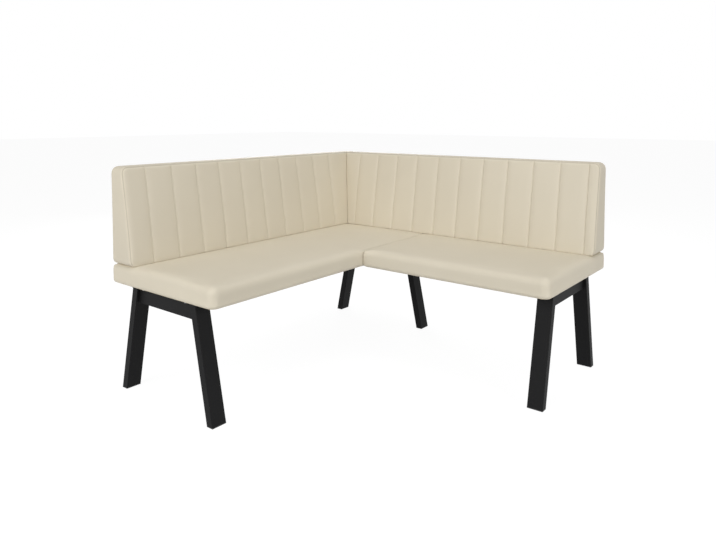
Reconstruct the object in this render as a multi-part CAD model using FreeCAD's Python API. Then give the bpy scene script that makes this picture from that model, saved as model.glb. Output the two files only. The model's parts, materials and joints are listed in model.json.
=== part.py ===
import FreeCAD
import Part
import math
import os

# Corner bench in millimetres: a long bench that fills the corner of a room, and a short bench
# joined to its front. Each has a padded seat on a board and a channelled backrest that leans back.
# The back wall is at +Y and the side wall at -X. The origin is on the floor, under the middle.

Vector = FreeCAD.Vector

# Overall sizes
overall_width = 1420.0
long_length = 1400.0
overall_height = 865.0
seat_depth = 600.0
seat_top_height = 488.0
seat_block_height = 75.0
seat_joint_gap = 1.0
back_base_depth = 130.0
back_top_depth = 73.0

# Clearances
soft_gap = 0.3
thread_gap = 0.1
bolt_gap = 0.5
overrun = 20.0

# Seat cushions
seat_edge_radius = 18.0
seat_lower_radius = 12.0
seat_wall_radius = 8.0
seat_corner_radius = 35.0
seat_wall_corner_radius = 20.0
seat_joined_radius = 12.0
seat_side_bulge = 2.0
seat_crown = 4.0
seat_front_fall = 2.0
crown_run = 120.0
crown_steps = 6

# Seat boards, rails and lining
board_thickness = 18.0
cover_skirt = 10.0
cover_thickness = 1.0
cover_hem_width = 26.0
rail_width = 100.0
rail_cover = 4.0
rail_end_inset = 25.0

# Backrest padding
back_foam = 28.0
top_foam = 18.0
end_foam = 18.0
rear_cover_thickness = 2.0
back_bulge = 3.0
least_swell_share = 0.1
back_top_radius = 16.0
back_bottom_radius = 10.0
back_corner_radius = 28.0
back_foot_radius = 22.0
back_side_radius = 12.0
back_rear_radius = 8.0
back_swell_run = 60.0
seam_pitch = 120.0
least_seam_margin = 42.0
seam_depth = 6.0
seam_top_depth = 3.0
seam_sharpness = 3
channel_shares = [0.0, 0.05, 0.14, 0.32, 0.6, 1.0]
rounding_steps = 4

# Backrest frames
front_panel_thickness = 6.0
rear_panel_thickness = 4.0
bottom_rail_height = 30.0
top_rail_height = 24.0
rib_thickness = 18.0
rib_count = 4

# Leg frames
tube_width = 60.0
tube_depth = 30.0
tube_wall = 2.0
crossbar_height = 60.0
crossbar_thickness = 30.0
top_plate_thickness = 4.0
rear_foot_inset = 20.0
front_foot_inset = 32.0
leg_splay = 86.5
corner_frame_inset = 24.0
long_frame_inset = 20.0
short_frame_inset = 30.0
sole_thickness = 4.0
plug_height = 20.0

# Seat screws and their inserts
screw_radius = 3.0
screw_length = 16.0
screw_head_radius = 5.25
screw_head_height = 3.3
screw_socket_radius = 2.3
screw_socket_depth = 2.0
screw_end_inset = 60.0
screw_edge_inset = 7.5
insert_radius = 5.0
insert_length = 13.0

# Backrest bolts, washers and tee nuts
bolt_radius = 4.0
bolt_head_radius = 8.0
bolt_head_height = 4.4
bolt_socket_radius = 2.9
bolt_socket_depth = 2.6
bolt_spare_length = 2.0
bolt_plate_margin = 45.0
washer_radius = 12.0
washer_thickness = 1.6
tee_flange_radius = 11.0
tee_flange_thickness = 1.5
tee_barrel_radius = 5.0
tee_barrel_length = 12.0

# Plates that join the two seats
joint_plate_length = 160.0
joint_plate_width = 50.0
joint_plate_thickness = 5.0
joint_plate_first = 170.0
joint_plate_spacing = 260.0
joint_screw_inset = 20.0

# Heights and depths that follow
seat_underside = seat_top_height - seat_block_height
board_bottom = seat_underside + cover_thickness
board_top = board_bottom + board_thickness
rail_top = seat_top_height - rail_cover
back_bottom = seat_top_height + soft_gap
frame_top = overall_height - top_foam
plate_bottom = seat_underside - top_plate_thickness
short_start = seat_depth + seat_joint_gap
lean = (back_base_depth - back_top_depth) / (overall_height - seat_top_height)
lean_stretch = math.sqrt(1.0 + lean * lean)
rear_panel_front = rear_cover_thickness + soft_gap + rear_panel_thickness
leg_lean = leg_splay / seat_underside
leg_stretch = math.sqrt(1.0 + leg_lean * leg_lean)

os.makedirs("parts", exist_ok=True)


def room(across, out, z):
    """A point by its distance from the side wall, its distance from the back wall, and its height."""
    return Vector(across - overall_width / 2, long_length / 2 - out, z)


def at_long(depth, along, z):
    """A point of the long bench: depth from the side wall, length from the back wall."""
    return room(depth, along, z)


def at_short(depth, along, z):
    """A point of the short bench: depth from the back wall, length from the side wall."""
    return room(along, depth, z)


def at_height(bound, z):
    """A bound is a plain length, or a function of height where the face slopes."""
    return bound(z) if callable(bound) else bound


def outward(solid):
    """The same solid with its faces turned outwards."""
    if solid.Volume < 0:
        solid.reverse()
    return solid


def sewn(faces):
    """One closed solid from faces that meet at their edges."""
    shell = Part.makeShell(faces)
    shell.sewShape()
    return outward(Part.makeSolid(shell))


def block(at, depth_low, depth_high, along_low, along_high, z_low, z_high):
    """A six-sided solid whose sides may slope with height."""
    rings = []
    for z in (z_low, z_high):
        near = at_height(depth_low, z)
        far = at_height(depth_high, z)
        start = at_height(along_low, z)
        end = at_height(along_high, z)
        rings.append([at(near, start, z), at(far, start, z), at(far, end, z), at(near, end, z)])
    low, high = rings
    quads = [low, high]
    for i in range(len(low)):
        j = (i + 1) % len(low)
        quads.append([low[i], low[j], high[j], high[i]])
    return sewn([Part.Face(Part.makePolygon(quad + quad[:1])) for quad in quads])


def cylinder(across, out, z_low, z_high, radius):
    return Part.makeCylinder(radius, z_high - z_low, room(across, out, z_low), Vector(0, 0, 1))


def socket(across, out, z_low, z_high, radius):
    """The hexagon that a key turns."""
    corners = []
    for i in range(7):
        turn = math.radians(60 * i)
        corners.append(room(across + radius * math.cos(turn), out + radius * math.sin(turn), z_low))
    return Part.Face(Part.makePolygon(corners)).extrude(Vector(0, 0, z_high - z_low))


def drilled(solid, spots, radius, z_low, z_high):
    """The solid with an upright hole at each spot in the room."""
    for across, out in spots:
        solid = solid.cut(cylinder(across, out, z_low, z_high, radius))
    return solid


def slab(at, depth_low, depth_high, along_low, along_high, z_low, z_high, front_round, wall_round):
    """A flat board whose two far corners, at the free end, are rounded in plan."""
    outline = []
    turn = math.cos(math.radians(45))
    front = [depth_high - front_round, along_high - front_round]
    wall = [depth_low + wall_round, along_high - wall_round]
    corners = [
        at(depth_low, along_low, z_low),
        at(depth_high, along_low, z_low),
        at(depth_high, front[1], z_low),
        at(front[0], along_high, z_low),
        at(wall[0], along_high, z_low),
        at(depth_low, wall[1], z_low),
    ]
    front_middle = at(front[0] + front_round * turn, front[1] + front_round * turn, z_low)
    wall_middle = at(wall[0] - wall_round * turn, wall[1] + wall_round * turn, z_low)
    outline.append(Part.LineSegment(corners[0], corners[1]).toShape())
    outline.append(Part.LineSegment(corners[1], corners[2]).toShape())
    outline.append(Part.Arc(corners[2], front_middle, corners[3]).toShape())
    outline.append(Part.LineSegment(corners[3], corners[4]).toShape())
    outline.append(Part.Arc(corners[4], wall_middle, corners[5]).toShape())
    outline.append(Part.LineSegment(corners[5], corners[0]).toShape())
    return Part.Face(Part.Wire(outline)).extrude(Vector(0, 0, z_high - z_low))


def round_in(radius, distance):
    """How far a rounded edge draws in at a distance from the end."""
    if distance >= radius:
        return 0.0
    return radius - math.sqrt(radius * radius - (radius - distance) ** 2)


def rounding_zones(radii, first, last):
    """Runs of distances from an end. A new run starts where one of the rounded edges is done."""
    zones = []
    start = first
    for radius in sorted(set(radii)):
        if radius <= start or start >= last:
            continue
        end = min(radius, last)
        turn_start = math.acos(1 - start / radius)
        turn_step = (math.acos(1 - end / radius) - turn_start) / rounding_steps
        turns = [turn_start + turn_step * i for i in range(rounding_steps + 1)]
        zones.append([radius * (1 - math.cos(turn)) for turn in turns])
        start = end
    return zones


def reversed_zones(zones):
    """The same runs, read from the other end."""
    return [zone[::-1] for zone in zones[::-1]]


def lofted(zones):
    """One solid from runs of sections, smooth within a run and creased where two runs meet."""
    faces = []
    for sections in zones:
        faces += Part.makeLoft(sections, False, False).Faces
    faces.append(Part.Face(zones[0][0]))
    faces.append(Part.Face(zones[-1][-1]))
    return sewn(faces)


def seat_section(at, along, front_in, wall_in, top_in, bottom_in, crown_share):
    """The seat cushion's outline across its depth, drawn in near its ends."""
    turn = math.cos(math.radians(45))
    low = seat_underside + bottom_in
    rest = seat_top_height - top_in
    edge = rest - seat_front_fall
    front = seat_depth - seat_side_bulge - front_in
    crown = rest - seat_front_fall / 4 + seat_crown * crown_share
    upper = seat_edge_radius
    lower = seat_lower_radius
    rear = seat_wall_radius
    points = {
        "low_rear": (wall_in + lower, low),
        "low_front": (front - lower, low),
        "low_front_turn": (front - lower + lower * turn, low + lower - lower * turn),
        "side_low": (front, low + lower),
        "side_middle": (front + seat_side_bulge, (low + edge) / 2),
        "side_high": (front, edge - upper),
        "top_front_turn": (front - upper + upper * turn, edge - upper + upper * turn),
        "top_front": (front - upper, edge),
        "top_middle": ((front - upper + back_base_depth) / 2, crown),
        "top_rest": (back_base_depth, rest),
        "top_rear": (wall_in + rear, rest),
        "top_rear_turn": (wall_in + rear - rear * turn, rest - rear + rear * turn),
        "wall_high": (wall_in, rest - rear),
        "wall_low": (wall_in, low + lower),
        "low_rear_turn": (wall_in + lower - lower * turn, low + lower - lower * turn),
    }
    p = {name: at(depth, along, z) for name, (depth, z) in points.items()}
    return Part.Wire([
        Part.LineSegment(p["low_rear"], p["low_front"]).toShape(),
        Part.Arc(p["low_front"], p["low_front_turn"], p["side_low"]).toShape(),
        Part.Arc(p["side_low"], p["side_middle"], p["side_high"]).toShape(),
        Part.Arc(p["side_high"], p["top_front_turn"], p["top_front"]).toShape(),
        Part.Arc(p["top_front"], p["top_middle"], p["top_rest"]).toShape(),
        Part.LineSegment(p["top_rest"], p["top_rear"]).toShape(),
        Part.Arc(p["top_rear"], p["top_rear_turn"], p["wall_high"]).toShape(),
        Part.LineSegment(p["wall_high"], p["wall_low"]).toShape(),
        Part.Arc(p["wall_low"], p["low_rear_turn"], p["low_rear"]).toShape(),
    ])


def seat_end_zones(at, start, direction, joined, crown_share):
    """Sections from an end of a seat to where its rounded edges run straight."""
    corner = seat_joined_radius if joined else seat_corner_radius
    wall_corner = seat_joined_radius if joined else seat_wall_corner_radius
    edge = seat_joined_radius if joined else seat_edge_radius
    lower = min(seat_lower_radius, corner)
    zones = []
    for distances in rounding_zones([corner, wall_corner, edge, lower], 0, corner):
        sections = []
        for distance in distances:
            front_in = round_in(corner, distance)
            wall_in = round_in(wall_corner, distance)
            top_in = round_in(edge, distance)
            bottom_in = round_in(lower, distance)
            share = crown_share * (1 - top_in / edge)
            along = start + direction * distance
            sections.append(seat_section(at, along, front_in, wall_in, top_in, bottom_in, share))
        zones.append(sections)
    return zones


def seat_form(at, start, end, flat_run):
    """A seat cushion's outer form, level under a backrest that crosses its first stretch."""
    first_share = 0.0 if flat_run else 1.0
    zones = seat_end_zones(at, start, 1, True, first_share)
    last = seat_end_zones(at, end, -1, False, 1.0)
    before = zones[-1][-1]
    if flat_run:
        flat_end = seat_section(at, start + flat_run, 0, 0, 0, 0, 0.0)
        zones.append([before, flat_end])
        rise = [flat_end]
        for i in range(1, crown_steps + 1):
            share = (1 - math.cos(math.pi * i / crown_steps)) / 2
            along = start + flat_run + crown_run * i / crown_steps
            rise.append(seat_section(at, along, 0, 0, 0, 0, share))
        zones.append(rise)
        before = rise[-1]
    zones.append([before, last[-1][-1]])
    return lofted(zones + reversed_zones(last))


def seat_cushion(at, start, end, flat_run, rails, screws, bolts):
    """The padded cushion, open below where the board, its rails and the lining sit."""
    form = seat_form(at, start, end, flat_run)
    form = form.cut(board_space(at, start, end))
    form = form.cut(liner_space(at, start, end))
    for rail in rails:
        form = form.cut(rail)
    form = drilled(form, screws, screw_radius + bolt_gap, seat_underside - overrun, board_bottom)
    return drilled(form, bolts, bolt_radius + bolt_gap, rail_top - overrun, seat_top_height + overrun)


def board_space(at, start, end):
    return slab(
        at, cover_skirt, seat_depth - seat_side_bulge - cover_skirt,
        start + cover_skirt, end - cover_skirt, board_bottom, board_top,
        seat_corner_radius - cover_skirt, seat_wall_corner_radius - cover_skirt,
    )


def liner_space(at, start, end):
    inset = cover_skirt + cover_hem_width
    return block(
        at, inset, seat_depth - seat_side_bulge - inset,
        start + inset, end - inset, seat_underside, board_bottom,
    )


def rail_space(at, start, end):
    """The timber in a seat that carries the backrest, under the thin cover."""
    return block(
        at, cover_skirt, cover_skirt + rail_width,
        start + rail_end_inset, end - rail_end_inset, board_top, rail_top,
    )


def corner_rail_space():
    """The same timber where the short bench's backrest stands on the long seat."""
    return block(
        at_short, cover_skirt, cover_skirt + rail_width,
        cover_skirt + rail_width, seat_depth - rail_end_inset, board_top, rail_top,
    )


def front_depth(z):
    """Depth of the backrest's leaning front at a height."""
    return back_base_depth - lean * (z - seat_top_height)


def pad_depth(z):
    """Depth of the plane that the front padding lies on."""
    return front_depth(z) - back_foam * lean_stretch


def scribed_start(z):
    """Where the short bench's backrest begins, against the leaning front of the long one."""
    return front_depth(z) + soft_gap + least_swell_share * back_bulge


def panel_front(z):
    return pad_depth(z) - soft_gap


def panel_rear(z):
    return panel_front(z) - front_panel_thickness * lean_stretch


def swell_share(along):
    """The front swells between foot and top, but lies flat where the other backrest meets it."""
    return min(max((along - back_base_depth) / back_swell_run, 0.0), 1.0)


def front_pad_section(at, along, front_in, top_in, drop, lift):
    """The front padding's outline: flat on the panel, rounded at its foot and over its top."""
    turn = math.cos(math.radians(45))
    low = back_bottom + lift
    high = overall_height - drop
    lower = back_bottom_radius
    upper = back_top_radius
    crest = high - top_in
    foot = front_depth(low + lower) - front_in
    head = front_depth(crest - upper) - front_in
    middle = (low + lower + crest - upper) / 2
    belly = (foot + head) / 2 + back_bulge * (least_swell_share + swell_share(along))
    points = {
        "foot_rear": (pad_depth(low), low),
        "foot_front": (foot - lower, low),
        "foot_turn": (foot - lower + lower * turn, low + lower - lower * turn),
        "face_low": (foot, low + lower),
        "face_middle": (belly, middle),
        "face_high": (head, crest - upper),
        "head_turn": (head - upper + upper * turn, crest - upper + upper * turn),
        "head_front": (head - upper, crest),
        "head_rear": (pad_depth(high), high),
    }
    p = {name: at(depth, along, z) for name, (depth, z) in points.items()}
    return Part.Wire([
        Part.LineSegment(p["foot_rear"], p["foot_front"]).toShape(),
        Part.Arc(p["foot_front"], p["foot_turn"], p["face_low"]).toShape(),
        Part.Arc(p["face_low"], p["face_middle"], p["face_high"]).toShape(),
        Part.Arc(p["face_high"], p["head_turn"], p["head_front"]).toShape(),
        Part.LineSegment(p["head_front"], p["head_rear"]).toShape(),
        Part.LineSegment(p["head_rear"], p["foot_rear"]).toShape(),
    ])


def groove_section(at, seam, offset):
    """A section at an offset from a seam, where the padding rises out of the stitched groove."""
    share = (1 - abs(offset) / (seam_pitch / 2)) ** seam_sharpness
    return front_pad_section(at, seam + offset, seam_depth * share, seam_top_depth * share, 0, 0)


def free_end_zones(at, end):
    """Sections from a backrest's free end to where its rounded edges run straight."""
    radii = [back_side_radius, back_corner_radius, back_foot_radius]
    zones = []
    for distances in rounding_zones(radii, 0, max(radii)):
        sections = []
        for distance in distances:
            sections.append(front_pad_section(
                at, end - distance, round_in(back_side_radius, distance), 0,
                round_in(back_corner_radius, distance), round_in(back_foot_radius, distance),
            ))
        zones.append(sections)
    return zones


def groove_offsets(reach):
    """Distances from a seam at which the groove gets its sections, out to a reach."""
    half = seam_pitch / 2
    return [half * share for share in channel_shares if half * share < reach]


def seam_places(start, end):
    """As many seams as fit at their pitch, centred, without those behind the other backrest."""
    pitches = int((end - start - 2 * least_seam_margin) // seam_pitch)
    first = (start + end - pitches * seam_pitch) / 2
    places = [first + i * seam_pitch for i in range(pitches + 1)]
    return [place for place in places if place > back_base_depth + least_seam_margin / 2]


def margin_zones(at, seam, direction, reach, end_section):
    """Runs of sections from the last seam out to the plain padding near an end."""
    offsets = groove_offsets(reach)
    run = [groove_section(at, seam, direction * offset) for offset in offsets]
    if offsets[-1] < seam_pitch / 2:
        return [run + [end_section]]
    return [run, [run[-1], end_section]]


def front_pad(at, start, end, seams):
    """The channelled front padding: flat in the corner, then smooth runs from seam to seam."""
    half = seam_pitch / 2
    flat_end = start + back_base_depth
    first = front_pad_section(at, start, 0, 0, 0, 0)
    flat = front_pad_section(at, flat_end, 0, 0, 0, 0)
    zones = [[first, flat]]
    zones += reversed_zones(margin_zones(at, seams[0], -1, seams[0] - flat_end, flat))
    for before, after in zip(seams[:-1], seams[1:]):
        up = [groove_section(at, before, offset) for offset in groove_offsets(seam_pitch)]
        down = [groove_section(at, after, -offset) for offset in groove_offsets(half)]
        zones.append(up + down[::-1])
    free = free_end_zones(at, end)
    reach = end - back_corner_radius - seams[-1]
    zones += margin_zones(at, seams[-1], 1, reach, free[-1][-1])
    return lofted(zones + reversed_zones(free))


def rear_section(at, along, low, high, wall_in):
    """The outline of the padding behind the front pad, rounded along its upper wall edge."""
    turn = math.cos(math.radians(45))
    radius = back_rear_radius
    points = {
        "low_front": (pad_depth(low) - soft_gap, low),
        "high_front": (pad_depth(high) - soft_gap, high),
        "high_wall": (wall_in + radius, high),
        "turn": (wall_in + radius - radius * turn, high - radius + radius * turn),
        "wall_high": (wall_in, high - radius),
        "wall_low": (wall_in, low),
    }
    p = {name: at(depth, at_height(along, z), z) for name, (depth, z) in points.items()}
    return Part.Wire([
        Part.LineSegment(p["low_front"], p["high_front"]).toShape(),
        Part.LineSegment(p["high_front"], p["high_wall"]).toShape(),
        Part.Arc(p["high_wall"], p["turn"], p["wall_high"]).toShape(),
        Part.LineSegment(p["wall_high"], p["wall_low"]).toShape(),
        Part.LineSegment(p["wall_low"], p["low_front"]).toShape(),
    ])


def top_pad(at, start, end):
    """The strip of padding along the top of the frame."""
    low = frame_top + soft_gap
    inset = end_foam + soft_gap
    joined = lambda z: at_height(start, z) + inset
    zones = []
    for distances in rounding_zones([back_corner_radius], inset, back_corner_radius):
        sections = []
        for distance in distances:
            high = overall_height - round_in(back_corner_radius, distance)
            sections.append(rear_section(at, end - distance, low, high, 0))
        zones.append(sections)
    first = rear_section(at, joined, low, overall_height, 0)
    return lofted([[first, zones[-1][-1]]] + reversed_zones(zones))


def free_end_pad(at, end):
    """The padding over the end of the frame that stands free, with its upper corner rounded."""
    radii = [back_foot_radius, back_corner_radius, back_rear_radius]
    zones = []
    for distances in rounding_zones(radii, 0, end_foam):
        sections = []
        for distance in distances:
            low = back_bottom + round_in(back_foot_radius, distance)
            high = overall_height - round_in(back_corner_radius, distance)
            wall_in = round_in(back_rear_radius, distance)
            sections.append(rear_section(at, end - distance, low, high, wall_in))
        zones.append(sections)
    return lofted(zones)


def corner_end_pad(at, start):
    """The padding over the end of the frame that stands in the corner."""
    end = lambda z: at_height(start, z) + end_foam
    first = rear_section(at, start, back_bottom, overall_height, 0)
    last = rear_section(at, end, back_bottom, overall_height, 0)
    return lofted([[first, last]])


def frame_start(start):
    return lambda z: at_height(start, z) + end_foam + soft_gap


def frame_end(end):
    return end - end_foam - soft_gap


def rear_cover(at, start, end):
    return block(at, 0, rear_cover_thickness, frame_start(start), frame_end(end), back_bottom, frame_top)


def front_panel(at, start, end):
    return block(at, panel_rear, panel_front, frame_start(start), frame_end(end), back_bottom, frame_top)


def rear_panel(at, start, end):
    inner = rear_panel_front - rear_panel_thickness
    return block(at, inner, rear_panel_front, frame_start(start), frame_end(end), back_bottom, frame_top)


def bolt_depth():
    """Depth of the backrest bolts, in the middle of the bottom rail."""
    return (rear_panel_front + panel_rear(back_bottom)) / 2


def bottom_rail(at, start, end, bolts):
    """The rail that the bolts pull down on, drilled and counterbored for its tee nuts."""
    top = back_bottom + bottom_rail_height
    rail = block(
        at, rear_panel_front, panel_rear, frame_start(start), frame_end(end), back_bottom, top
    )
    rail = drilled(rail, bolts, bolt_radius + bolt_gap, back_bottom - overrun, top + overrun)
    barrel = tee_barrel_radius + thread_gap
    return drilled(rail, bolts, barrel, top - tee_barrel_length, top + overrun)


def top_rail(at, start, end):
    low = frame_top - top_rail_height
    return block(at, rear_panel_front, panel_rear, frame_start(start), frame_end(end), low, frame_top)


def rib_starts(start, end):
    """Where each rib begins. The first follows the corner end, and the others stand upright."""
    first = frame_start(start)
    base = first(back_bottom)
    spacing = (frame_end(end) - rib_thickness - base) / (rib_count - 1)
    return [first] + [base + i * spacing for i in range(1, rib_count)]


def rib(at, place):
    """One upright between the panels, from rail to rail."""
    far = lambda z: at_height(place, z) + rib_thickness
    low = back_bottom + bottom_rail_height
    high = frame_top - top_rail_height
    return block(at, rear_panel_front, panel_rear, place, far, low, high)


def leg_rear_outer(z):
    return rear_foot_inset + leg_lean * z


def leg_rear_inner(z):
    return leg_rear_outer(z) + tube_depth * leg_stretch


def leg_front_outer(z):
    return seat_depth - front_foot_inset - leg_lean * z


def leg_front_inner(z):
    return leg_front_outer(z) - tube_depth * leg_stretch


def shifted(bound, distance):
    return lambda z: bound(z) + distance


def leg(at, along, low_side, high_side):
    """A splayed leg of flat tube, cut level at the floor and under the plate."""
    wall = tube_wall * leg_stretch
    outer = block(at, low_side, high_side, along, along + tube_width, sole_thickness, plate_bottom)
    bore = block(
        at, shifted(low_side, wall), shifted(high_side, -wall),
        along + tube_wall, along + tube_width - tube_wall,
        sole_thickness - overrun, plate_bottom + overrun,
    )
    return outer.cut(bore)


def foot_plug(at, along, low_side, high_side):
    """A plastic glide: a sole under the tube and a plug up inside it."""
    sole = block(at, low_side, high_side, along, along + tube_width, 0, sole_thickness)
    inset = (tube_wall + soft_gap) * leg_stretch
    side = tube_wall + soft_gap
    plug = block(
        at, shifted(low_side, inset), shifted(high_side, -inset),
        along + side, along + tube_width - side, sole_thickness, sole_thickness + plug_height,
    )
    return sole.fuse(plug).removeSplitter()


def crossbar(at, along):
    """The flat tube on edge between the legs, in the middle of their width."""
    low = plate_bottom - crossbar_height
    side = along + (tube_width - crossbar_thickness) / 2
    outer = block(
        at, leg_rear_inner, leg_front_inner, side, side + crossbar_thickness, low, plate_bottom
    )
    bore = block(
        at, leg_rear_inner, leg_front_inner,
        side + tube_wall, side + crossbar_thickness - tube_wall,
        low + tube_wall, plate_bottom - tube_wall,
    )
    return outer.cut(bore)


def top_plate(at, along, screws):
    plate = block(
        at, leg_rear_outer(seat_underside), leg_front_outer(seat_underside),
        along, along + tube_width, plate_bottom, seat_underside,
    )
    hole = screw_radius + bolt_gap
    return drilled(plate, screws, hole, plate_bottom - overrun, seat_underside + overrun)


def frame_screw_spots(at, along):
    """Two screws at each end of a frame's plate, one on each side of the crossbar."""
    near = leg_rear_outer(seat_underside) + screw_end_inset
    far = leg_front_outer(seat_underside) - screw_end_inset
    sides = (along + screw_edge_inset, along + tube_width - screw_edge_inset)
    return [in_room(at, depth, side) for depth in (near, far) for side in sides]


def in_room(at, depth, along):
    """A spot of a bench as distances from the side wall and from the back wall."""
    return (depth, along) if at is at_long else (along, depth)


def screw(across, out, face):
    """A button-head screw with its head under a face."""
    head = cylinder(across, out, face - screw_head_height, face, screw_head_radius)
    edge = head.Edges[2]
    head = head.makeFillet(screw_head_height / 3, [edge])
    low = face - screw_head_height
    head = head.cut(socket(across, out, low, low + screw_socket_depth, screw_socket_radius))
    shank = cylinder(across, out, face, face + screw_length, screw_radius)
    return head.fuse(shank).removeSplitter()


def insert(across, out):
    """A threaded sleeve in the underside of a seat board."""
    sleeve = cylinder(across, out, board_bottom, board_bottom + insert_length, insert_radius)
    bore = cylinder(
        across, out, board_bottom - overrun, board_top + overrun, screw_radius + thread_gap
    )
    return sleeve.cut(bore)


def bolt(across, out):
    """A long bolt from under the seat up into the backrest's bottom rail."""
    face = seat_underside - washer_thickness
    tip = back_bottom + bottom_rail_height + tee_flange_thickness + bolt_spare_length
    head = cylinder(across, out, face - bolt_head_height, face, bolt_head_radius)
    head = head.makeFillet(bolt_head_height / 3, [head.Edges[2]])
    low = face - bolt_head_height
    head = head.cut(socket(across, out, low, low + bolt_socket_depth, bolt_socket_radius))
    return head.fuse(cylinder(across, out, face, tip, bolt_radius)).removeSplitter()


def washer(across, out):
    ring = cylinder(across, out, seat_underside - washer_thickness, seat_underside, washer_radius)
    low = seat_underside - overrun
    return ring.cut(cylinder(across, out, low, seat_underside + overrun, bolt_radius + bolt_gap))


def tee_nut(across, out):
    """A flanged nut let into the top of the bottom rail."""
    face = back_bottom + bottom_rail_height
    flange = cylinder(across, out, face, face + tee_flange_thickness, tee_flange_radius)
    barrel = cylinder(across, out, face - tee_barrel_length, face, tee_barrel_radius)
    bore = cylinder(
        across, out, face - tee_barrel_length - overrun, face + overrun, bolt_radius + thread_gap
    )
    return flange.fuse(barrel).cut(bore).removeSplitter()


def joint_plate_screws(first):
    """Two screws into each seat, across the joint between them."""
    middle = seat_depth + seat_joint_gap / 2
    near = middle - joint_plate_length / 2 + joint_screw_inset
    far = middle + joint_plate_length / 2 - joint_screw_inset
    low = first + joint_screw_inset / 2
    high = first + joint_plate_width - joint_screw_inset / 2
    return [(across, out) for across in (near, far) for out in (low, high)]


def joint_plate(first):
    """A flat steel plate screwed under both seats where they meet."""
    middle = seat_depth + seat_joint_gap / 2
    low = seat_underside - joint_plate_thickness
    plate = block(
        room, middle - joint_plate_length / 2, middle + joint_plate_length / 2,
        first, first + joint_plate_width, low, seat_underside,
    )
    hole = screw_radius + bolt_gap
    return drilled(plate, joint_plate_screws(first), hole, low - overrun, seat_underside + overrun)


def scribed(pad, at, start):
    """The padding cut to lie against the other backrest where that stands in the corner."""
    if not callable(start):
        return pad
    far = 2 * overall_height
    return pad.cut(block(at, -overrun, back_base_depth + overrun, start(far) - far, start, 0, far))


def save(name, shape):
    if not shape.isValid():
        print("not valid:", name)
    shape.exportStep("parts/" + name + ".step")


# Leg frames: their places along each bench, and their screws
leg_frames = {
    "corner": (at_long, corner_frame_inset),
    "long_end": (at_long, long_length - long_frame_inset - tube_width),
    "short_end": (at_short, overall_width - short_frame_inset - tube_width),
}
frame_screws = {name: frame_screw_spots(at, along) for name, (at, along) in leg_frames.items()}
joint_firsts = [joint_plate_first, joint_plate_first + joint_plate_spacing]
joint_screws = []
for joint_first in joint_firsts:
    joint_screws += joint_plate_screws(joint_first)

# Backrest bolts: the long bench's stand between its ribs, and the short bench's first one
# stands clear of the corner frame's plate
long_ribs = rib_starts(0, long_length)
short_ribs = rib_starts(scribed_start, overall_width)


def between_ribs(ribs, i):
    left = at_height(ribs[i], back_bottom)
    right = at_height(ribs[i + 1], back_bottom)
    return (left + rib_thickness + right) / 2


long_bolts = [(bolt_depth(), between_ribs(long_ribs, i)) for i in range(rib_count - 1)]
first_short_bolt = leg_front_outer(seat_underside) + bolt_plate_margin
short_bolts = [(first_short_bolt, bolt_depth())]
short_bolts += [(between_ribs(short_ribs, i), bolt_depth()) for i in range(1, rib_count - 1)]

all_screws = frame_screws["corner"] + frame_screws["long_end"] + frame_screws["short_end"]
all_screws += joint_screws
all_bolts = long_bolts + short_bolts

# Seats
seats = {
    "long": (at_long, 0, long_length, back_base_depth),
    "short": (at_short, short_start, overall_width, 0),
}
for bench, (at, start, end, flat_run) in seats.items():
    rails = {bench + "_seat_rail": rail_space(at, start, end)}
    if bench == "long":
        rails["corner_seat_rail"] = corner_rail_space()
    cushion = seat_cushion(at, start, end, flat_run, list(rails.values()), all_screws, all_bolts)
    save(bench + "_seat_cushion", cushion)
    board = board_space(at, start, end)
    insert_top = board_bottom + insert_length
    board = drilled(board, all_screws, insert_radius + thread_gap, board_bottom, insert_top)
    board = drilled(board, all_bolts, bolt_radius + bolt_gap, board_bottom - overrun, board_top + overrun)
    save(bench + "_seat_board", board)
    liner = liner_space(at, start, end)
    liner = drilled(liner, all_screws, screw_radius + bolt_gap, seat_underside - overrun, board_top)
    liner = drilled(liner, all_bolts, bolt_radius + bolt_gap, seat_underside - overrun, board_top)
    save(bench + "_seat_liner", liner)
    for name, rail in rails.items():
        rail = drilled(rail, all_bolts, bolt_radius + bolt_gap, board_top - overrun, rail_top + overrun)
        save(name, rail)

# Backrests
backs = {
    "long": (at_long, 0, 0, long_length, long_ribs, long_bolts),
    "short": (at_short, scribed_start, back_base_depth, overall_width, short_ribs, short_bolts),
}
for bench, (at, start, seam_start, end, ribs, bolts) in backs.items():
    seams = seam_places(seam_start, end)
    pad = front_pad(at, min(at_height(start, overall_height), 0), end, seams)
    save(bench + "_back_front_pad", scribed(pad, at, start))
    save(bench + "_back_top_pad", top_pad(at, start, end))
    save(bench + "_back_free_end_pad", free_end_pad(at, end))
    save(bench + "_back_corner_end_pad", corner_end_pad(at, start))
    save(bench + "_back_rear_cover", rear_cover(at, start, end))
    save(bench + "_back_front_panel", front_panel(at, start, end))
    save(bench + "_back_rear_panel", rear_panel(at, start, end))
    save(bench + "_back_bottom_rail", bottom_rail(at, start, end, bolts))
    save(bench + "_back_top_rail", top_rail(at, start, end))
    for number, place in enumerate(ribs, 1):
        save(bench + "_back_rib_" + str(number), rib(at, place))

# Leg frames
for name, (at, along) in leg_frames.items():
    save(name + "_frame_rear_leg", leg(at, along, leg_rear_outer, leg_rear_inner))
    save(name + "_frame_front_leg", leg(at, along, leg_front_inner, leg_front_outer))
    save(name + "_frame_crossbar", crossbar(at, along))
    save(name + "_frame_top_plate", top_plate(at, along, frame_screws[name]))
    save(name + "_frame_rear_foot", foot_plug(at, along, leg_rear_outer, leg_rear_inner))
    save(name + "_frame_front_foot", foot_plug(at, along, leg_front_inner, leg_front_outer))

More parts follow.
